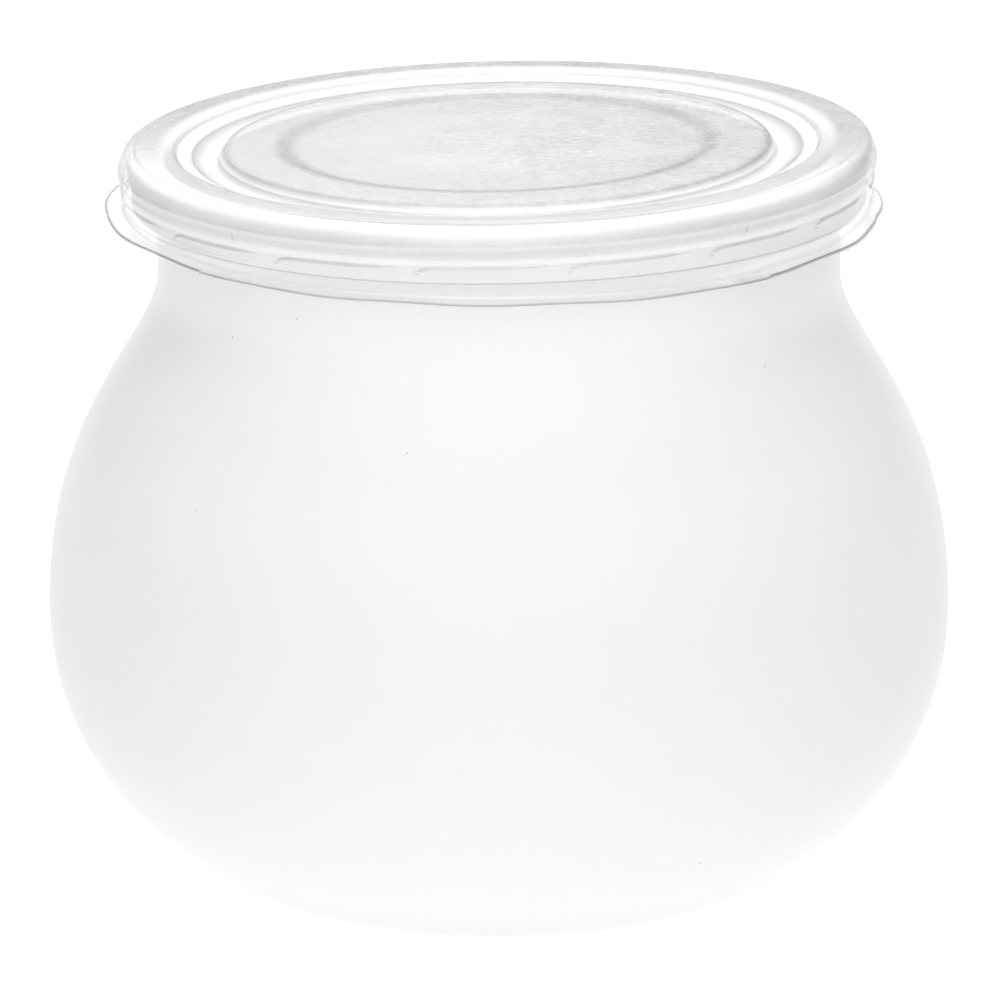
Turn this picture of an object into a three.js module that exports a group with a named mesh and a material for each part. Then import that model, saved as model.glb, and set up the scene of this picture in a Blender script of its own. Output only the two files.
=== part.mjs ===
// A squat, pot-bellied plastic candy jar with its clear press-on lid in place.
// Millimetres, +Z up. The jar stands on z = 0 with its axis on the Z axis.
import * as THREE from "three";

// Jar: a thin-walled body of revolution with an open mouth.
const BELLY_RADIUS = 51;
const BELLY_HEIGHT = 31.4;
const WALL = 1;
const NECK_RADIUS = 38.25;
const NECK_START = 70.4;
const FOOT_RADIUS = 24;
const FOOT_INNER_RADIUS = 19.5;
const PUSH_UP = 1.6;
const PUSH_UP_SLOPE = 3.5;
const JAR_SEGMENTS = 60;
const BELLY_STEPS = 8;

// Handle lengths of the two curves that draw the belly.
const FOOT_HANDLE = 11;
const LOWER_BELLY_HANDLE = 19.2;
const UPPER_BELLY_HANDLE = 23.7;
const NECK_HANDLE = 9;

// Rim of the mouth: a flat brim whose edge turns down into a collar. The lid's groove snaps in under the bead on it.
const RIM_TOP = 83.95;
const RIM_RADIUS = 41.6;
const RIM_BEAD = 1.9;
const RIM_ROUND = 0.7;
const COLLAR_RADIUS = 41.1;
const COLLAR_DEPTH = 5.8;

// Lid: one formed sheet. Heights are measured up from its panel.
const PANEL_TOP = 84.55;
const SHEET = 0.5;
const PANEL_RADIUS = 30.4;
const DISC_RADIUS = 23.8;
const DISC_DROP = 0.25;
const DISC_STEP = 0.4;
const PANEL_ROUND = 0.5;
const CHANNEL_INNER = 31.9;
const CHANNEL_OUTER = 33.9;
const CHANNEL_DEPTH = 2;
const CROWN_INNER = 35.7;
const CROWN_TOP_RADIUS = 38.6;
const CROWN_RISE = 0.25;
const CROWN_OUTER = 41.5;
const BEAD_RADIUS = 42.5;
const BEAD_DROP = 2.1;
const GROOVE_RADIUS = 41.9;
const GROOVE_DROP = 3.4;
const BAND_RADIUS = 41.95;
const BAND_TOP_DROP = 6.05;
const LIP_RADIUS = 43.45;
const LIP_DROP = 7.9;

// Snap lugs stand out from the skirt between the groove and the band.
const LUG_COUNT = 16;
const LUG_STEPS = 5;
const LUG_FLAT_HALF_ANGLE = THREE.MathUtils.degToRad(5);
const LUG_HALF_ANGLE = THREE.MathUtils.degToRad(10);
const LUG_RELIEF = 0.35;
const LUG_TOP_DROP = 4.2;
const LUG_BOTTOM_DROP = 5.8;
const LIP_WAVE = 0.35;

// Two pull tabs, towards +X and -X, stand a little higher and further out than the rest of the lip.
const TAB_LIFT = 0.8;
const TAB_REACH = 0.3;
const TAB_HALF_ANGLE = THREE.MathUtils.degToRad(50);

// The lid was pressed on by hand and sits a little turned, with a lug nearly at the front, on -Y.
const LID_TURN = THREE.MathUtils.degToRad(-2.5);

const jarMaterial = new THREE.MeshStandardMaterial({
  color: 0xf1f2f2,
  roughness: 0.55,
  metalness: 0,
});
const lidMaterial = new THREE.MeshStandardMaterial({
  color: 0xe9ecec,
  roughness: 0.15,
  metalness: 0,
});

const point = (radius, height) => new THREE.Vector2(radius, height);

// A quarter circle between two ends, bulging from its centre towards the corner it rounds.
function roundedCorner(centre, radius, fromDegrees, toDegrees, steps = 3) {
  const points = [];
  for (let i = 0; i <= steps; i += 1) {
    const angle = THREE.MathUtils.degToRad(THREE.MathUtils.lerp(fromDegrees, toDegrees, i / steps));
    points.push(point(centre.x + radius * Math.cos(angle), centre.y + radius * Math.sin(angle)));
  }
  return points;
}

// A closed profile turned about the Z axis, as geometry with +Z up.
function turned(profile, segments) {
  const geometry = new THREE.LatheGeometry([...profile, profile[0]], segments);
  geometry.rotateX(Math.PI / 2);
  return geometry;
}

// The belly is two cubic curves that meet, upright, at its widest ring.
const lowerBelly = new THREE.CubicBezierCurve(
  point(FOOT_RADIUS, 0),
  point(FOOT_RADIUS + FOOT_HANDLE, 0),
  point(BELLY_RADIUS, BELLY_HEIGHT - LOWER_BELLY_HANDLE),
  point(BELLY_RADIUS, BELLY_HEIGHT),
);
const upperBelly = new THREE.CubicBezierCurve(
  point(BELLY_RADIUS, BELLY_HEIGHT),
  point(BELLY_RADIUS, BELLY_HEIGHT + UPPER_BELLY_HANDLE),
  point(NECK_RADIUS, NECK_START - NECK_HANDLE),
  point(NECK_RADIUS, NECK_START),
);

// The belly's outline from foot to neck, set in from the outer face by the given depth.
function bellyOutline(inset) {
  const points = [];
  for (const curve of [lowerBelly, upperBelly]) {
    const first = curve === lowerBelly ? 0 : 1;
    for (let i = first; i <= BELLY_STEPS; i += 1) {
      const at = curve.getPoint(i / BELLY_STEPS);
      const along = curve.getTangent(i / BELLY_STEPS);
      points.push(point(at.x - inset * along.y, at.y + inset * along.x));
    }
  }
  return points;
}

// The mouth's brim, from the neck's outer face round its turned-down edge to the neck's inner face.
function rimOutline() {
  const underside = RIM_TOP - WALL;
  const beadBottom = RIM_TOP - RIM_BEAD;
  const collarBottom = RIM_TOP - COLLAR_DEPTH;
  const collarInner = COLLAR_RADIUS - WALL;
  const mouthRadius = NECK_RADIUS - WALL;
  return [
    point(NECK_RADIUS, underside),
    point(collarInner, underside),
    point(collarInner, collarBottom),
    point(COLLAR_RADIUS, collarBottom),
    point(COLLAR_RADIUS, beadBottom),
    point(RIM_RADIUS, beadBottom),
    ...roundedCorner(point(RIM_RADIUS - RIM_ROUND, RIM_TOP - RIM_ROUND), RIM_ROUND, 0, 90),
    ...roundedCorner(point(mouthRadius + RIM_ROUND, RIM_TOP - RIM_ROUND), RIM_ROUND, 90, 180),
  ];
}

// The underside is pushed up inside a flat foot ring, and the floor inside follows it.
function buildJar() {
  const slopeTop = FOOT_INNER_RADIUS - PUSH_UP_SLOPE;
  const profile = [
    point(0, PUSH_UP),
    point(slopeTop, PUSH_UP),
    point(FOOT_INNER_RADIUS, 0),
    ...bellyOutline(0),
    ...rimOutline(),
    ...bellyOutline(WALL).reverse(),
    point(FOOT_INNER_RADIUS, WALL),
    point(slopeTop, PUSH_UP + WALL),
    point(0, PUSH_UP + WALL),
  ];
  const jar = new THREE.Mesh(turned(profile, JAR_SEGMENTS), jarMaterial);
  jar.name = "jar";
  return jar;
}

// The lid's upper and outer face, from the axis out to the lip. Heights are above the panel.
const lidFace = [
  point(0, -DISC_DROP),
  point(DISC_RADIUS - DISC_STEP, -DISC_DROP),
  point(DISC_RADIUS + DISC_STEP, 0),
  point(PANEL_RADIUS - PANEL_ROUND, 0),
  point(PANEL_RADIUS, -PANEL_ROUND / 2),
  point(CHANNEL_INNER - PANEL_ROUND, -CHANNEL_DEPTH + PANEL_ROUND),
  point(CHANNEL_INNER, -CHANNEL_DEPTH),
  point(CHANNEL_OUTER, -CHANNEL_DEPTH),
  point(CHANNEL_OUTER + PANEL_ROUND, -CHANNEL_DEPTH + PANEL_ROUND),
  point(CROWN_INNER, -PANEL_ROUND),
  point(CROWN_INNER + PANEL_ROUND, 0),
  point(CROWN_TOP_RADIUS, CROWN_RISE),
  point(CROWN_OUTER - PANEL_ROUND, CROWN_RISE),
  point(CROWN_OUTER + PANEL_ROUND, -PANEL_ROUND),
  point(BEAD_RADIUS, -BEAD_DROP + PANEL_ROUND),
  point(BEAD_RADIUS, -BEAD_DROP - PANEL_ROUND),
  point(GROOVE_RADIUS, -GROOVE_DROP),
  point(GROOVE_RADIUS, -LUG_TOP_DROP),
  point(GROOVE_RADIUS, -LUG_BOTTOM_DROP),
  point(BAND_RADIUS, -BAND_TOP_DROP),
  point(BAND_RADIUS, -LIP_DROP + PANEL_ROUND),
  point(BAND_RADIUS + PANEL_ROUND, -LIP_DROP),
  point(LIP_RADIUS, -LIP_DROP),
];

// The sheet's inner face: the outer face set in square to the line through its neighbours.
function sheetBack(face) {
  return face.map((at, i) => {
    const before = face[Math.max(i - 1, 0)];
    const after = face[Math.min(i + 1, face.length - 1)];
    const along = after.clone().sub(before).normalize();
    const back = point(at.x + SHEET * along.y, at.y - SHEET * along.x);
    return i === 0 ? point(0, at.y - SHEET) : back;
  });
}

// 1 in the middle of a snap lug, 0 in the gap between two.
function lugShape(angle) {
  const pitch = (2 * Math.PI) / LUG_COUNT;
  const lugs = angle / pitch;
  const fromMiddle = Math.abs(lugs - Math.round(lugs)) * pitch;
  return 1 - THREE.MathUtils.smoothstep(fromMiddle, LUG_FLAT_HALF_ANGLE, LUG_HALF_ANGLE);
}

// 1 at the middle of a pull tab, falling smoothly to 0 at its ends.
function tabShape(angle) {
  const fromTab = Math.abs(Math.asin(Math.sin(angle)));
  return 1 - THREE.MathUtils.smoothstep(fromTab, 0, TAB_HALF_ANGLE);
}

// Pushes the lugs out of the turned skirt, waves its lip over them and lifts the two tabs.
function formSkirt(geometry) {
  const positions = geometry.getAttribute("position");
  const at = new THREE.Vector3();
  const lipStart = -BAND_TOP_DROP - SHEET;
  for (let i = 0; i < positions.count; i += 1) {
    at.fromBufferAttribute(positions, i);
    const angle = Math.atan2(at.y, at.x);
    const radius = Math.hypot(at.x, at.y);
    const height = at.z - PANEL_TOP;
    let reach = 0;
    let lift = 0;
    if (radius > CROWN_OUTER - SHEET && height < -GROOVE_DROP - SHEET / 2 && height > -BAND_TOP_DROP) {
      reach += LUG_RELIEF * lugShape(angle);
    }
    if (radius > CROWN_OUTER - SHEET && height < lipStart) {
      reach += TAB_REACH * tabShape(angle) + LIP_WAVE * lugShape(angle);
      lift += TAB_LIFT * tabShape(angle);
    }
    at.x += reach * Math.cos(angle);
    at.y += reach * Math.sin(angle);
    positions.setXYZ(i, at.x, at.y, at.z + lift);
  }
  geometry.computeVertexNormals();
}

function buildLid() {
  const profile = [...lidFace, ...sheetBack(lidFace).reverse()];
  const geometry = turned(profile.reverse(), LUG_COUNT * LUG_STEPS);
  geometry.translate(0, 0, PANEL_TOP);
  formSkirt(geometry);
  geometry.rotateZ(LID_TURN);
  const lid = new THREE.Mesh(geometry, lidMaterial);
  lid.name = "lid";
  return lid;
}

const candyJar = new THREE.Group();
candyJar.add(buildJar(), buildLid());

export default candyJar;
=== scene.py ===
"""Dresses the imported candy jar: a frosted, pot-bellied jar with a clear press-on lid, on a light table."""
import math

import bpy
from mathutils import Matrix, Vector


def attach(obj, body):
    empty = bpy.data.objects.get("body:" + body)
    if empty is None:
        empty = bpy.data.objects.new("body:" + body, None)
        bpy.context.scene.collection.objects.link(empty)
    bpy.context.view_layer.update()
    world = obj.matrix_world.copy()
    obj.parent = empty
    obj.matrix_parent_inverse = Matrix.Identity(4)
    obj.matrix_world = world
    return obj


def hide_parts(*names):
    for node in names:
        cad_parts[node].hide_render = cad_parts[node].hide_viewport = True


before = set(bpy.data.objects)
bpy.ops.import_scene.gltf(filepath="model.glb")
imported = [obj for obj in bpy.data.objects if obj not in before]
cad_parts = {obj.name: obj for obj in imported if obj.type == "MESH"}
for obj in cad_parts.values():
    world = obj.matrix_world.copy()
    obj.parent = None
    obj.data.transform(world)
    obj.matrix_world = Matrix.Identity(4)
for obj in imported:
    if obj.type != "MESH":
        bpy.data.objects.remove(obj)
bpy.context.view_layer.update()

# The whole part
# Sizes and places are in millimetres, with the jar's foot at height 0.
MM = 0.001


# The camera
# A long lens at the height from which the lid's ellipses and the curve of the base look as they do in the
# photo.
camera_place = Vector((0.1, -800, 268.4)) * MM
camera_aim = Vector((0.1, 0, 42.9)) * MM
camera = bpy.data.objects.new("camera", bpy.data.cameras.new("camera"))
camera.data.lens = 264.3
camera.data.sensor_width = 36
camera.data.clip_start = 50 * MM
camera.data.clip_end = 20
camera.location = camera_place
camera.rotation_mode = "QUATERNION"
camera.rotation_quaternion = (camera_aim - camera_place).to_track_quat("-Z", "Y")
bpy.context.scene.collection.objects.link(camera)
bpy.context.scene.camera = camera


# The table and the light
# A wide sheet of white opal acrylic, lit evenly from below as a light table is, in a pale room with a bright
# soft ceiling. The room is brightest in front and behind, and darker to the left and right.
def linear(hex_colour):
    """An sRGB hex colour as linear RGBA."""
    shares = [int(hex_colour[i:i + 2], 16) / 255 for i in (1, 3, 5)]
    return (*[s / 12.92 if s <= 0.04045 else ((s + 0.055) / 1.055) ** 2.4 for s in shares], 1)


def add_node(tree, kind, values=None, links=None, **settings):
    """Adds a node, with values and links by socket name or number and settings by attribute name."""
    made = tree.nodes.new(kind)
    for name, value in settings.items():
        setattr(made, name, value)
    for socket, value in (values or {}).items():
        made.inputs[socket].default_value = value
    for socket, source in (links or {}).items():
        tree.links.new(source, made.inputs[socket])
    return made


def new_material(name):
    """An empty node material, with its tree and its output node."""
    material = bpy.data.materials.new(name)
    material.use_nodes = True
    material.node_tree.nodes.clear()
    return material, material.node_tree, add_node(material.node_tree, "ShaderNodeOutputMaterial")


def new_mesh(name, points, faces, material, smooth=True):
    """A mesh object in the scene, in metres from points in millimetres."""
    mesh = bpy.data.meshes.new(name)
    mesh.from_pydata([tuple(MM * c for c in at) for at in points], [], faces)
    mesh.polygons.foreach_set("use_smooth", [smooth] * len(mesh.polygons))
    mesh.materials.append(material)
    mesh.update()
    piece = bpy.data.objects.new(name, mesh)
    bpy.context.scene.collection.objects.link(piece)
    return piece


table_radius = 3500
table_sides = 96
table_light = 1.24
acrylic, tree, output = new_material("opal_acrylic_table")
glow = add_node(tree, "ShaderNodeEmission", {"Color": linear("#FFFFFF"), "Strength": table_light})
tree.links.new(glow.outputs[0], output.inputs["Surface"])
acrylic.cycles.emission_sampling = "NONE"
turns = [math.tau * i / table_sides for i in range(table_sides)]
ring = [(table_radius * math.cos(turn), table_radius * math.sin(turn), 0) for turn in turns]
table = new_mesh("table", ring, [tuple(range(table_sides))], acrylic, smooth=False)

wall_light, side_light = 1.45, 0.25
horizon_light, zenith_light = 0.87, 1.8
room = bpy.data.worlds.new("pale_room")
room.use_nodes = True
tree = room.node_tree
tree.nodes.clear()
outwards = add_node(tree, "ShaderNodeTexCoord").outputs["Generated"]
direction = add_node(tree, "ShaderNodeSeparateXYZ", links={0: outwards})
sideways = add_node(tree, "ShaderNodeMath", links={0: direction.outputs["X"]}, operation="ABSOLUTE")
walls = add_node(tree, "ShaderNodeMapRange", {
    "From Min": 0.15, "From Max": 0.8, "To Min": wall_light, "To Max": side_light},
    {"Value": sideways.outputs[0]}, interpolation_type="SMOOTHSTEP")
ceiling = add_node(tree, "ShaderNodeMapRange", {
    "From Min": 0.15, "From Max": 0.85, "To Min": horizon_light, "To Max": zenith_light},
    {"Value": direction.outputs["Z"]}, interpolation_type="SMOOTHSTEP")
brightness = add_node(tree, "ShaderNodeMath", links={0: walls.outputs[0], 1: ceiling.outputs[0]},
                      operation="MULTIPLY")
sky = add_node(tree, "ShaderNodeBackground", {"Color": linear("#FFFFFF")},
               {"Strength": brightness.outputs[0]})
add_node(tree, "ShaderNodeOutputWorld", links={"Surface": sky.outputs[0]})
room.cycles.sampling_method = "NONE"
bpy.context.scene.world = room
bpy.context.scene.view_settings.view_transform = "Standard"
bpy.context.scene.view_settings.look = "None"
bpy.context.scene.cycles.use_denoising = True
bpy.context.scene.cycles.transparent_max_bounces = 16


# The jar
# Milky polypropylene, moulded thin, with a fine satin face that scatters light: a foot ring round a pushed-up
# base, a belly drawn by two curves, and a short neck that ends in a brim with its edge turned down.
wall = 1
belly_radius, belly_height = 51, 31.4
foot_radius, foot_inner_radius = 24, 19.5
push_up, push_up_slope = 1.6, 3.5
neck_radius, neck_start = 38.25, 70.4
rim_top, rim_radius, rim_bead = 83.95, 41.6, 1.9
collar_radius, collar_depth = 41.1, 5.8
foot_rounding, base_rounding, neck_rounding = 1.2, 2, 0.6
collar_rounding, rim_rounding, inner_rounding = 0.3, 0.7, 0.2
jar_segments = 288

# Handle lengths of the belly's two curves, and the points along each.
foot_handle, lower_handle, upper_handle, neck_handle = 11, 19.2, 23.7, 9
curve_steps = 30

# A rounded corner has a point about every so many degrees.
arc_step, small_arc_step = 12, 15

# The mouth was moulded a little askew, so the rim and the lid on it rise to the right. The neck is level.
lean_angle = math.radians(1.2)
lean_start, lean_end = 76.2, 80.5


def cubic(p0, p1, p2, p3):
    """Points along a cubic curve, in order, without its first."""
    points = []
    for i in range(1, curve_steps + 1):
        t = i / curve_steps
        weights = ((1 - t) ** 3, 3 * t * (1 - t) ** 2, 3 * t * t * (1 - t), t ** 3)
        points.append(tuple(sum(w * p[k] for w, p in zip(weights, (p0, p1, p2, p3))) for k in (0, 1)))
    return points


def rounded(corners, step):
    """An outline through corners (radius, height, rounding), with a point about every step degrees."""
    points = [corners[0][:2]]
    for before, (x, y, rounding), after in zip(corners, corners[1:], corners[2:]):
        at = Vector((x, y))
        back = (Vector(before[:2]) - at).normalized()
        on = (Vector(after[:2]) - at).normalized()
        half = back.angle(on) / 2
        if rounding == 0 or math.pi - 2 * half < math.radians(1):
            points.append((x, y))
            continue
        centre = at + (back + on).normalized() * rounding / math.sin(half)
        start = at + back * rounding / math.tan(half) - centre
        end = at + on * rounding / math.tan(half) - centre
        steps = max(2, round(math.degrees(start.angle(end)) / step))
        turn = math.atan2(start.x * end.y - start.y * end.x, start.dot(end))
        for i in range(steps + 1):
            c, s = math.cos(turn * i / steps), math.sin(turn * i / steps)
            points.append((centre.x + c * start.x - s * start.y, centre.y + s * start.x + c * start.y))
    return points + [corners[-1][:2]]


def set_in(outline, depth):
    """An open outline moved to its left by the given depth, square to its own direction."""
    moved = []
    for i, (x, y) in enumerate(outline):
        (x0, y0), (x1, y1) = outline[max(i - 1, 0)], outline[min(i + 1, len(outline) - 1)]
        length = math.hypot(x1 - x0, y1 - y0)
        moved.append((x - depth * (y1 - y0) / length, y + depth * (x1 - x0) / length))
    return moved


def step_between(value, start, end):
    """0 before start, 1 after end, and a smooth rise between."""
    t = min(max((value - start) / (end - start), 0), 1)
    return t * t * (3 - 2 * t)


def turned(name, outline, angles, material, form=None, shift=0):
    """Turns an outline that starts and ends on the axis. Form may move a point (radius, height, angle)."""
    inner = outline[1:-1]
    points = [(shift, 0, outline[0][1]), (shift, 0, outline[-1][1])]
    for angle in angles:
        for r, z in inner:
            if form:
                r, z = form(r, z, angle)
            x = r * math.cos(angle)
            lean = x * math.tan(lean_angle) * step_between(z, lean_start, lean_end)
            points.append((x + shift, r * math.sin(angle), z + lean))
    faces = []
    count, rows = len(inner), len(angles)
    for i in range(rows):
        here, there = 2 + i * count, 2 + (i + 1) % rows * count
        faces.append((0, there, here))
        faces.append((1, here + count - 1, there + count - 1))
        faces += [(here + k, there + k, there + k + 1, here + k + 1) for k in range(count - 1)]
    return new_mesh(name, points, faces, material)


slope_top = foot_inner_radius - push_up_slope
mouth_radius = neck_radius - wall
brim_underside = rim_top - wall
bead_bottom = rim_top - rim_bead
collar_inner, collar_bottom = collar_radius - wall, rim_top - collar_depth
belly_side = (belly_radius, belly_height)
body = [(foot_radius, 0)]
body += cubic((foot_radius, 0), (foot_radius + foot_handle, 0),
              (belly_radius, belly_height - lower_handle), belly_side)
body += cubic(belly_side, (belly_radius, belly_height + upper_handle),
              (neck_radius, neck_start - neck_handle), (neck_radius, neck_start))
base = rounded([
    (0, push_up, 0), (slope_top, push_up, base_rounding), (foot_inner_radius, 0, foot_rounding),
    (foot_radius, 0, 0)], arc_step)
floor = rounded([
    (0, push_up + wall, 0), (slope_top, push_up + wall, foot_rounding),
    (foot_inner_radius, wall, base_rounding), (foot_radius, wall, 0)], arc_step)
brim = rounded([
    (neck_radius, neck_start, 0), (neck_radius, brim_underside, neck_rounding),
    (collar_inner, brim_underside, inner_rounding), (collar_inner, collar_bottom, collar_rounding),
    (collar_radius, collar_bottom, collar_rounding),
    (collar_radius, bead_bottom - collar_rounding, collar_rounding),
    (rim_radius, bead_bottom, collar_rounding), (rim_radius, rim_top, rim_rounding),
    (mouth_radius, rim_top, rim_rounding), (mouth_radius, neck_start, 0)], small_arc_step)
jar_outline = base[:-1] + body[:-1] + brim + set_in(body, wall)[-2::-1] + floor[-2::-1]

# Polypropylene with a satin moulded face: soft white that glows where light comes through, with only a dull
# sheen where it is seen edge-on. Its white carries painted light and shade by height: whiter just above the
# foot and at the neck, which the lid shades, and darker at the very foot, where the bright table shines back
# from it, and on the upper belly, which the ceiling lights most. The real grain is finer than 0.1 mm and is
# drawn coarser, so that it shows. Dust left a few specks in the plastic.
satin_grain, satin_depth = 0.35, 0.03
speck_spacing, speck_core, speck_edge, speck_strength = 5, 0.06, 0.12, 0.8
# Painted light and shade: the wall's white by height in millimetres, lighter where the lid shades the neck
# and darker where the ceiling and the table light it most.
painted_light_by_height = [(0, "#F0F0F0"), (9, "#FAFAFA"), (43, "#F3F3F3"), (56, "#F3F3F3"), (70, "#FCFCFC")]
painted_light_height_span = 100
passing_share, sheen_share, sheen_power = 0.3, 0.42, 4

frosted, tree, output = new_material("frosted_polypropylene")
place = add_node(tree, "ShaderNodeTexCoord").outputs["Object"]
satin = add_node(tree, "ShaderNodeTexNoise", {"Scale": 1 / (satin_grain * MM), "Detail": 1},
                 {"Vector": place})
grain = add_node(tree, "ShaderNodeBump", {"Strength": 0.12, "Distance": satin_depth * MM},
                 {"Height": satin.outputs[0]})
dust = add_node(tree, "ShaderNodeTexVoronoi", {"Scale": 1 / (speck_spacing * MM)}, {"Vector": place})
speck = add_node(tree, "ShaderNodeMapRange", {
    "From Min": speck_core / speck_spacing, "From Max": speck_edge / speck_spacing,
    "To Min": speck_strength, "To Max": 0}, {"Value": dust.outputs["Distance"]})
height = add_node(tree, "ShaderNodeSeparateXYZ", links={0: place}).outputs["Z"]
level = add_node(tree, "ShaderNodeMapRange", {"From Min": 0, "From Max": painted_light_height_span * MM}, {"Value": height})
white = add_node(tree, "ShaderNodeValToRGB", links={0: level.outputs[0]})
white.color_ramp.interpolation = "EASE"
painted_light_stops = white.color_ramp.elements
painted_light_stops.remove(painted_light_stops[1])
painted_light_stops[0].color = linear(painted_light_by_height[0][1])
for tone_height, tone in painted_light_by_height[1:]:
    painted_light_stops.new(tone_height / painted_light_height_span).color = linear(tone)
# Sockets 6 and 7 of a colour mix are its two colours, and its output 2 is the mixed one.
shade = add_node(tree, "ShaderNodeMix", {7: linear("#9A9896")},
                 {0: speck.outputs[0], 6: white.outputs["Color"]}, data_type="RGBA")
milk = add_node(tree, "ShaderNodeBsdfPrincipled", {"Roughness": 0.5, "IOR": 1.49},
                {"Base Color": shade.outputs[2], "Normal": grain.outputs[0]})
passing = add_node(tree, "ShaderNodeBsdfTranslucent",
                   links={"Color": shade.outputs[2], "Normal": grain.outputs[0]})
milky_wall = add_node(tree, "ShaderNodeMixShader", {0: passing_share},
                      {1: milk.outputs[0], 2: passing.outputs[0]})
sheen = add_node(tree, "ShaderNodeBsdfPrincipled", {"Metallic": 1, "Roughness": 0.3},
                 {"Base Color": shade.outputs[2]})
edge_on = add_node(tree, "ShaderNodeLayerWeight", {"Blend": 0.5})
grazing = add_node(tree, "ShaderNodeMath", {1: sheen_power}, {0: edge_on.outputs["Facing"]},
                   operation="POWER")
shown_sheen = add_node(tree, "ShaderNodeMath", {1: sheen_share}, {0: grazing.outputs[0]},
                       operation="MULTIPLY")
plastic = add_node(tree, "ShaderNodeMixShader",
                   links={0: shown_sheen.outputs[0], 1: milky_wall.outputs[0], 2: sheen.outputs[0]})
tree.links.new(plastic.outputs[0], output.inputs["Surface"])

jar_angles = [math.tau * i / jar_segments for i in range(jar_segments)]
jar = turned("frosted_jar", jar_outline, jar_angles, frosted)
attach(jar, "root")
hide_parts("jar")


# The lid
# One sheet of clear PET, formed hot over a mould: a flat panel with a set-down disc, a channel that plugs the
# mouth, a crowned rim rolled over the jar's brim, and a skirt with snap lugs, a band and a lip with two tabs.
panel_top = 84.55
sheet, lip_sheet = 0.5, 0.3
disc_drop = 0.25
groove_radius, lip_radius = 41.95, 43.45
groove_top, groove_bottom, band_top, lip_height = -3.4, -3.8, -5.95, -7.65
lip_root = lip_height + 0.5
lug_rows, band_rows = 26, 8
lid_segments = 640

# The upper and outer face from the axis to the lip, as radius, height above the panel and rounding. Corners
# without rounding on a straight run are there to hold the ends of the painted dark lines of shade and of the
# scuffs.
disc_and_panel = [
    (0, -disc_drop, 0), (12, -disc_drop, 0), (22.2, -disc_drop, 0), (23.4, -disc_drop, 0.8), (24.2, 0, 0.8),
    (25.4, 0, 0), (29.6, 0, 0), (30.4, 0, 0.45)]
channel = [
    (30.95, -0.77, 0), (31.1, -0.99, 0), (31.75, -1.9, 0.5), (34.1, -0.8, 0.6), (34.75, -0.62, 0),
    (35.75, -0.35, 0.3)]
crown = [
    (36.2, 0.08, 0.3), (36.6, 0.11, 0), (37.2, 0.16, 0), (37.6, 0.19, 0), (38.8, 0.28, 8), (40.2, 0.215, 0),
    (40.5, 0.2, 0), (40.8, 0.19, 0)]
bead_and_groove = [(41.6, 0.15, 0.9), (42.55, -2.2, 1.1), (groove_radius, groove_top, 0.35),
                   (groove_radius, groove_bottom, 0)]
rim_and_panel = rounded(disc_and_panel + channel + crown + bead_and_groove, arc_step)
skirt = [(groove_radius, groove_bottom + (band_top - groove_bottom) * i / lug_rows) for i in range(lug_rows)]
skirt += [(groove_radius, band_top + (lip_root - band_top) * i / band_rows) for i in range(band_rows)]
lip = rounded([(groove_radius, lip_root, 0), (groove_radius, lip_height, 0.45), (43.1, lip_height, 0),
               (43.36, lip_height, 0), (lip_radius, lip_height, 0)], small_arc_step)
lid_face = rim_and_panel[:-1] + skirt + lip
lid_back = [(r, max(z, lip_height - lip_sheet)) for r, z in set_in(lid_face, -sheet)]
lid_outline = [(r, panel_top + z) for r, z in lid_face + lid_back[::-1]]
lid_outline[-1] = (0, lid_outline[-1][1])

# Sixteen lugs go round the skirt, each with a hooked left end and a right end that fades. The lid was pressed
# on by hand, so it sits turned and a little shifted.
lug_count = 16
lug_pitch = math.tau / lug_count
lid_turn = math.radians(-2.5)
lid_shift = -0.2
lug_top, lug_half_length, lug_relief, lug_edge = -4.25, 6.9, 0.22, 0.22
hook_length, hook_drop, hook_edge = 1.6, 1.0, 0.2
lug_fade_right, lug_fade_down = 2, 4.4
skirt_inner, skirt_start = 41, -3

# The lip waves over the lugs and rises towards the tabs. Each rise and reach is a size, and the degrees from
# the middle of a tab where it starts to fade and where it is gone. The right tab is shorter than the left.
lip_width, wave_reach, wave_drop = 1.5, 0.2, 0.1
root_rise, right_root_rise, left_root_rise = (0.35, 38, 52), (1.0, 12, 30), (0.5, 12, 30)
edge_rise, edge_step = (0.5, 30, 60), (0.35, 9, 10.5)
right_reach, left_reach = (-0.55, 5, 40), (0.3, 5, 40)

# Four short marks cross the groove, where the mould's plates meet.
mark_angles = [math.radians(a) for a in (-40, 42, 140, 222)]
mark_half_width = math.radians(0.1)


def turn_from_front(angle):
    """Angle from the middle of the lid's front, positive to the right."""
    return math.remainder(angle - lid_turn + math.pi / 2, math.tau)


def degrees_from_tab(from_front):
    """Degrees from the middle of the nearer pull tab."""
    return math.degrees(abs(abs(from_front) - math.pi / 2))


def along_lug(from_front):
    """Distance along the skirt from the middle of the nearest lug, positive to the right."""
    return math.remainder(from_front, lug_pitch) * groove_radius


def below_lug_top(along, height):
    """How far a point of the skirt lies below the top edge of its lug, negative above it."""
    into_hook = min(max(hook_length - lug_half_length - along, 0) / hook_length, 1)
    return lug_top - hook_drop * (1 - math.sqrt(1 - into_hook ** 2)) - height


def near_tab(from_tab, size, fades, gone):
    """The size near the middle of a pull tab, falling smoothly to 0 between two angles from it."""
    return size * (1 - step_between(from_tab, fades, gone))


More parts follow.
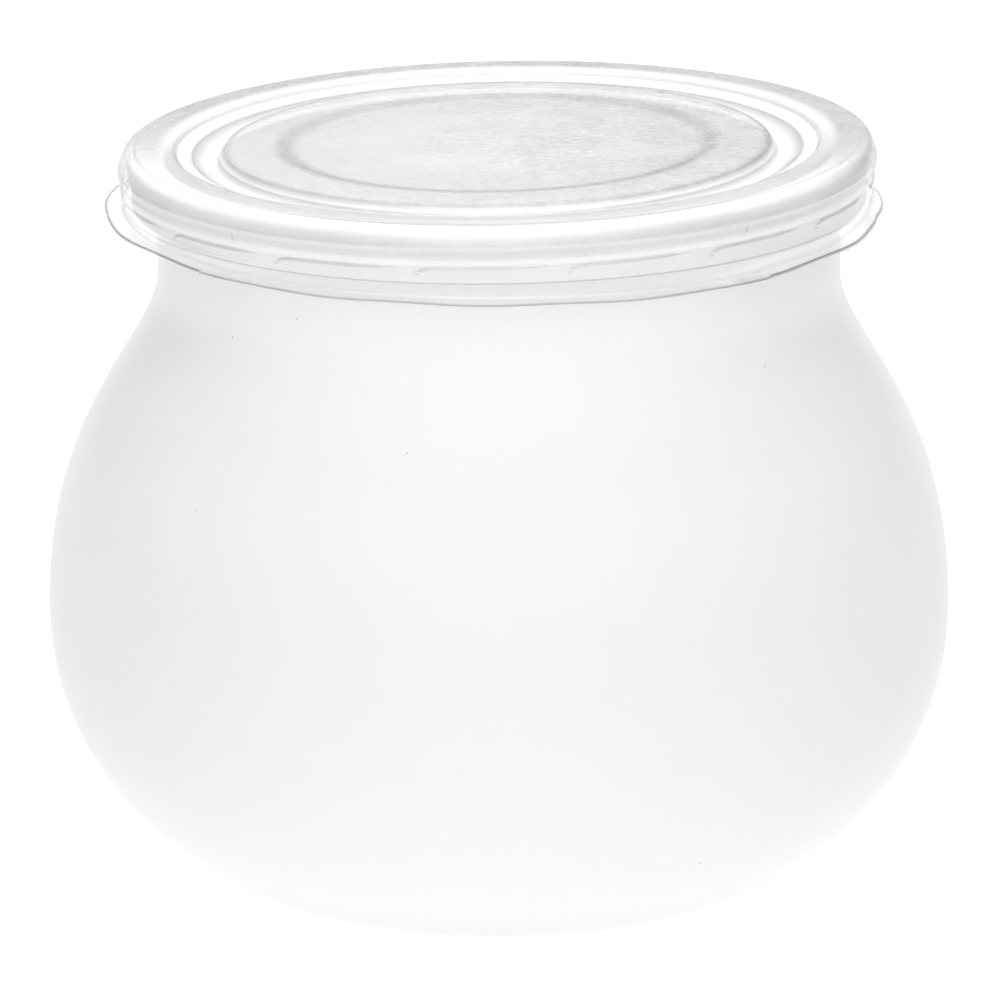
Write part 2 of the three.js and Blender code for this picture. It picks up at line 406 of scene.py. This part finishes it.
def formed(r, z, angle):
    """The turned sheet with its lugs, waved lip and tabs pressed into it."""
    height = z - panel_top
    if r < skirt_inner or height > skirt_start:
        return r, z
    from_front = turn_from_front(angle)
    along = along_lug(from_front)
    shown = step_between(along, -lug_half_length - hook_edge, -lug_half_length + hook_edge)
    shown *= 1 - step_between(along, lug_fade_right, lug_half_length)
    top_edge = step_between(below_lug_top(along, height), -lug_edge / 2, lug_edge / 2)
    r += lug_relief * shown * top_edge * (1 - step_between(-height, lug_fade_down, -band_top))
    if height < band_top:
        from_tab = degrees_from_tab(from_front)
        right = from_front > 0
        root_lift = near_tab(from_tab, *root_rise)
        root_lift += near_tab(from_tab, *(right_root_rise if right else left_root_rise))
        edge_lift = near_tab(from_tab, *edge_rise) + near_tab(from_tab, *edge_step)
        reach = near_tab(from_tab, *(right_reach if right else left_reach))
        wave = 0.5 + 0.5 * math.cos(from_front * lug_count)
        outwards = min(max((r - groove_radius) / lip_width, 0), 1)
        down = min((band_top - height) / (band_top - lip_height), 1)
        z += down * ((1 - outwards) * root_lift + outwards * (edge_lift - wave_drop * wave))
        r += outwards * (wave_reach * wave + reach)
    return r, z


# Thermoformed PET: clear and glossy, darker where it is seen edge-on, milky in places, and dulled by scuffs.
# Painted shade is drawn in as dark lines along its bends, steps, edges and grooves, standing in for the dark
# lines that light makes where the sheet bends, and as a darker far side of the crown; the mould's marks are
# drawn among the lines. Three attributes say how much of each a point has: the painted lines and marks, the
# milkiness, and the scuffs with the crown's painted shade. The scuffs are finer than 0.2 mm on the real lid
# and are drawn coarser, so that they show.
ripple_width, ripple_depth = 1.6, 0.05
scuff_width, worn_patch = 0.7, 7
# The dark tone darkens the sheet where it is seen edge-on and where it is scuffed, and carries the painted
# shade of the dark lines and of the far crown.
clear_tone, dark_tone = linear("#FEFEFE"), linear("#8E9292")
facing_share, edge_on_share = 0.07, 0.7

clear, tree, output = new_material("clear_pet_sheet")
place = add_node(tree, "ShaderNodeTexCoord").outputs["Object"]
line = add_node(tree, "ShaderNodeAttribute", attribute_name="line")
haze = add_node(tree, "ShaderNodeAttribute", attribute_name="haze")
scuffs_and_painted_shade = add_node(tree, "ShaderNodeAttribute", attribute_name="scuffs_and_painted_shade")
ripple = add_node(tree, "ShaderNodeTexNoise", {"Scale": 1 / (ripple_width * MM), "Detail": 1},
                  {"Vector": place})
relief = add_node(tree, "ShaderNodeBump", {"Strength": 0.15, "Distance": ripple_depth * MM},
                  {"Height": ripple.outputs[0]})
scuffs = add_node(tree, "ShaderNodeTexNoise", {
    "Scale": 1 / (scuff_width * MM), "Detail": 2, "Roughness": 0.7}, {"Vector": place})
patches = add_node(tree, "ShaderNodeTexNoise", {
    "Scale": 1 / (worn_patch * MM), "Detail": 3, "Distortion": 1.2}, {"Vector": place})
grains = add_node(tree, "ShaderNodeMapRange", {
    "From Min": 0.38, "From Max": 0.62, "To Min": 0, "To Max": 0.34}, {"Value": scuffs.outputs[0]})
streaks = add_node(tree, "ShaderNodeMapRange", {
    "From Min": 0.36, "From Max": 0.62, "To Min": 0.05, "To Max": 0.28}, {"Value": patches.outputs[0]})
scuffed = add_node(tree, "ShaderNodeMath", links={0: grains.outputs[0], 1: streaks.outputs[0]},
                   operation="ADD")
shown_scuffs_and_painted_shade = add_node(tree, "ShaderNodeMath", links={0: scuffed.outputs[0], 1: scuffs_and_painted_shade.outputs["Fac"]},
                operation="MULTIPLY")
# Painted shade: the dark lines and the far crown's darkening are added to the scuffs here, to darken the
# sheet's tint.
painted_lines_marks_and_scuffs = add_node(tree, "ShaderNodeMath", links={0: line.outputs["Fac"], 1: shown_scuffs_and_painted_shade.outputs[0]},
                   operation="ADD", use_clamp=True)
edge_on = add_node(tree, "ShaderNodeLayerWeight", {"Blend": 0.5}, {"Normal": relief.outputs[0]})
sloped = add_node(tree, "ShaderNodeMath", {1: 8}, {0: edge_on.outputs["Facing"]}, operation="POWER")
edge_on_painted_lines_marks_and_scuffs = add_node(tree, "ShaderNodeMath", {1: 0.7}, {0: sloped.outputs[0], 2: painted_lines_marks_and_scuffs.outputs[0]},
                   operation="MULTIPLY_ADD", use_clamp=True)
tint = add_node(tree, "ShaderNodeMix", {6: clear_tone, 7: dark_tone}, {0: edge_on_painted_lines_marks_and_scuffs.outputs[0]},
                data_type="RGBA")
painted_lines_marks_and_scuffs_tone = add_node(tree, "ShaderNodeMix", {6: clear_tone, 7: dark_tone}, {0: painted_lines_marks_and_scuffs.outputs[0]},
                 data_type="RGBA")
through = add_node(tree, "ShaderNodeBsdfTransparent", links={"Color": tint.outputs[2]})
gloss = add_node(tree, "ShaderNodeBsdfPrincipled", {"Metallic": 1, "Roughness": 0.08},
                 {"Base Color": tint.outputs[2], "Normal": relief.outputs[0]})
milky = add_node(tree, "ShaderNodeBsdfPrincipled", {"Roughness": 0.5, "IOR": 1.57},
                 {"Base Color": painted_lines_marks_and_scuffs_tone.outputs[2], "Normal": relief.outputs[0]})
grazing = add_node(tree, "ShaderNodeMath", {1: 5}, {0: edge_on.outputs["Facing"]}, operation="POWER")
mirror = add_node(tree, "ShaderNodeMapRange", {"To Min": facing_share, "To Max": edge_on_share},
                  {"Value": grazing.outputs[0]})
hazy = add_node(tree, "ShaderNodeMixShader",
                links={0: haze.outputs["Fac"], 1: through.outputs[0], 2: milky.outputs[0]})
pet = add_node(tree, "ShaderNodeMixShader",
               links={0: mirror.outputs[0], 1: hazy.outputs[0], 2: gloss.outputs[0]})
tree.links.new(pet.outputs[0], output.inputs["Surface"])

# The sheet's inner face only lets light pass, since the outer face already carries the gloss of both.
inner_face, tree, output = new_material("clear_pet_inner_face")
passing = add_node(tree, "ShaderNodeBsdfTransparent", {"Color": linear("#FFFFFF")})
tree.links.new(passing.outputs[0], output.inputs["Surface"])

lid_angles = [math.tau * i / lid_segments for i in range(lid_segments)]
for mark in mark_angles:
    middle = mark + lid_turn - math.pi / 2
    lid_angles += [(middle + mark_half_width * share) % math.tau for share in (-1, 0, 1)]
lid_angles.sort()
lid = turned("clear_lid", lid_outline[::-1], lid_angles, clear, formed, lid_shift)

# Each turned row starts with the points of the inner face. The first point of all is that face's middle.
row_length, back_points = len(lid_outline) - 2, len(lid_back) - 1
lid.data.materials.append(inner_face)
for face in lid.data.polygons:
    inside = all(v == 0 or v > 1 and (v - 2) % row_length < back_points for v in face.vertices)
    face.material_index = int(inside)


def bends(mesh):
    """How sharply the surface bends at each vertex, in radians per millimetre."""
    least_apart = 0.05
    ends = {}
    for face in mesh.polygons:
        for key in face.edge_keys:
            ends.setdefault(key, []).append(face)
    sharpest = [0.0] * len(mesh.vertices)
    for (a, b), sides in ends.items():
        if len(sides) == 2:
            one, other = sides
            apart = (one.center - other.center).length / MM
            bend = one.normal.angle(other.normal, 0) / max(apart, least_apart)
            sharpest[a] = max(sharpest[a], bend)
            sharpest[b] = max(sharpest[b], bend)
    return sharpest


# The zones of the sheet end at these radii and heights above the panel. In each, the strength of the painted
# dark lines of shade, the haze and the scuffs are shares of the most that the sheet can show.
panel_end, channel_end = 30.55, 35.9
bead_end, groove_end = -1.8, groove_bottom - 0.3
light_wear = 0.05


def peak(value, middle, half_width):
    """1 at the middle, falling straight to 0 at half_width from it."""
    return max(1 - abs(value - middle) / half_width, 0)


def panel_looks(r, angle, far):
    """Painted shade as a soft dark ring at the disc's step, stronger on the near side, and a fine dark edge
    round the panel, stronger on the far side; and scuffs, denser to the right.
    """
    disc_line = (0.3 + 0.25 * (1 - far)) * peak(r, 23.8, 1.8)
    edge_line = (0.15 + 0.3 * far) * peak(r, 30.3, 0.5)
    return disc_line + edge_line, 0.3, 0.36 + 0.14 * math.cos(angle)


def channel_looks(r, height):
    """A milky floor and top edge, and two dark lines of painted shade on the outer side, with faint painted
    shade between them.
    """
    milky_here = height > -0.8 or 31.5 < r < 33.9
    line = 0.6 * peak(r, 34.2, 0.3) + 0.5 * peak(r, 35.8, 0.15) + 0.12 * (34.3 < r < 35.7)
    return line, 0.8 if milky_here else 0.3, light_wear


def rim_looks(r, height, far):
    """A crown darkened with painted shade on its far side, standing in for the darker room seen in it there,
    and scuffed there, partly as painted shade; faint painted shade with two fine dark lines of it on its near
    side; and painted shade on the lower part of the bead.
    """
    outer = step_between(r, 37.2, 38.2) * (height > -0.4)
    near_line = 0.06 * (r < 40) + 0.3 * (peak(r, 40.5, 0.3) + peak(r, 36.2, 0.3))
    bead_line = 0.22 * step_between(-height, 0.7, 1.2)
    line = 0.34 * far * outer + (1 - far) * near_line + bead_line
    return line, 0.4 - 0.15 * (1 - far), 0.5 * far * outer + 0.2 * (1 - far) * (1 - outer)


def groove_looks(height, from_front):
    """Two soft dark lines of painted shade round the groove over a faint painted shade, the four short marks
    across it, and a milky bottom.
    """
    line = 0.05 + 0.16 * peak(height, -2.85, 0.6) + 0.16 * peak(height, -2.3, 0.12)
    if groove_bottom + 0.1 < height < -2.3:
        from_mark = min(abs(math.remainder(from_front - mark, math.tau)) for mark in mark_angles)
        line += 0.6 * peak(from_mark, 0, mark_half_width)
    return line, 0.12 + 0.4 * peak(height, -3.7, 0.6), light_wear


def skirt_looks(r, height, from_front):
    """Painted shade as dark lines along each lug's top, the band's top and the lip's edge, over a faint
    painted shade that is a little darker on the lip near the tabs. The band is milky at the sides.
    """
    along = along_lug(from_front)
    from_tab = degrees_from_tab(from_front)
    shown = step_between(along, -lug_half_length - hook_edge, -lug_half_length)
    shown *= 1 - step_between(along, 5, lug_half_length + 1)
    line = 0.36 * shown * peak(below_lug_top(along, height), 0, 0.11)
    line += 0.05 + 0.5 * peak(height, band_top, 0.1) + 0.1 * (r > 42 and from_tab < 50)
    if from_tab < 45:
        on_lip_edge = r > 43.3 and height > lip_height - 0.1
    else:
        on_lip_edge = r > 43.4 and height < lip_height - 0.1
    line += (0.65 - 0.2 * step_between(from_tab, 45, 70)) * on_lip_edge
    return line, 0.12 + near_tab(from_tab, 0.45, 35, 65) * step_between(-height, 5.8, 6.8), light_wear


def looks_at(r, height, angle, bend):
    """The sheet's painted dark lines and marks, haze, and scuffs with painted shade: its dark edges, its
    milky zones and how scuffed it is.
    """
    far = step_between(math.sin(angle) + 0.3 * max(math.cos(angle), 0), -0.45, 0.45)
    from_front = turn_from_front(angle)
    if r < panel_end:
        line, haze, scuffs_and_painted_shade = panel_looks(r, angle, far)
    elif r < channel_end:
        line, haze, scuffs_and_painted_shade = channel_looks(r, height)
    elif height > bead_end:
        line, haze, scuffs_and_painted_shade = rim_looks(r, height, far)
    elif height > groove_end:
        line, haze, scuffs_and_painted_shade = groove_looks(height, from_front)
    else:
        line, haze, scuffs_and_painted_shade = skirt_looks(r, height, from_front)
    # Painted shade darkens the sheet where it bends sharply.
    return line + 0.2 * step_between(bend, 2.5, 8), haze, scuffs_and_painted_shade


looks = [looks_at(0, 0, 0, 0)] * 2
for vertex, bend in list(enumerate(bends(lid.data)))[2:]:
    turn, step = divmod(vertex - 2, row_length)
    r, z = lid_outline[-2 - step]
    looks.append(looks_at(r, z - panel_top, lid_angles[turn], bend))
for name, values in zip(("line", "haze", "scuffs_and_painted_shade"), zip(*looks)):
    lid.data.attributes.new(name, "FLOAT", "POINT").data.foreach_set("value", values)
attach(lid, "root")
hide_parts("lid")
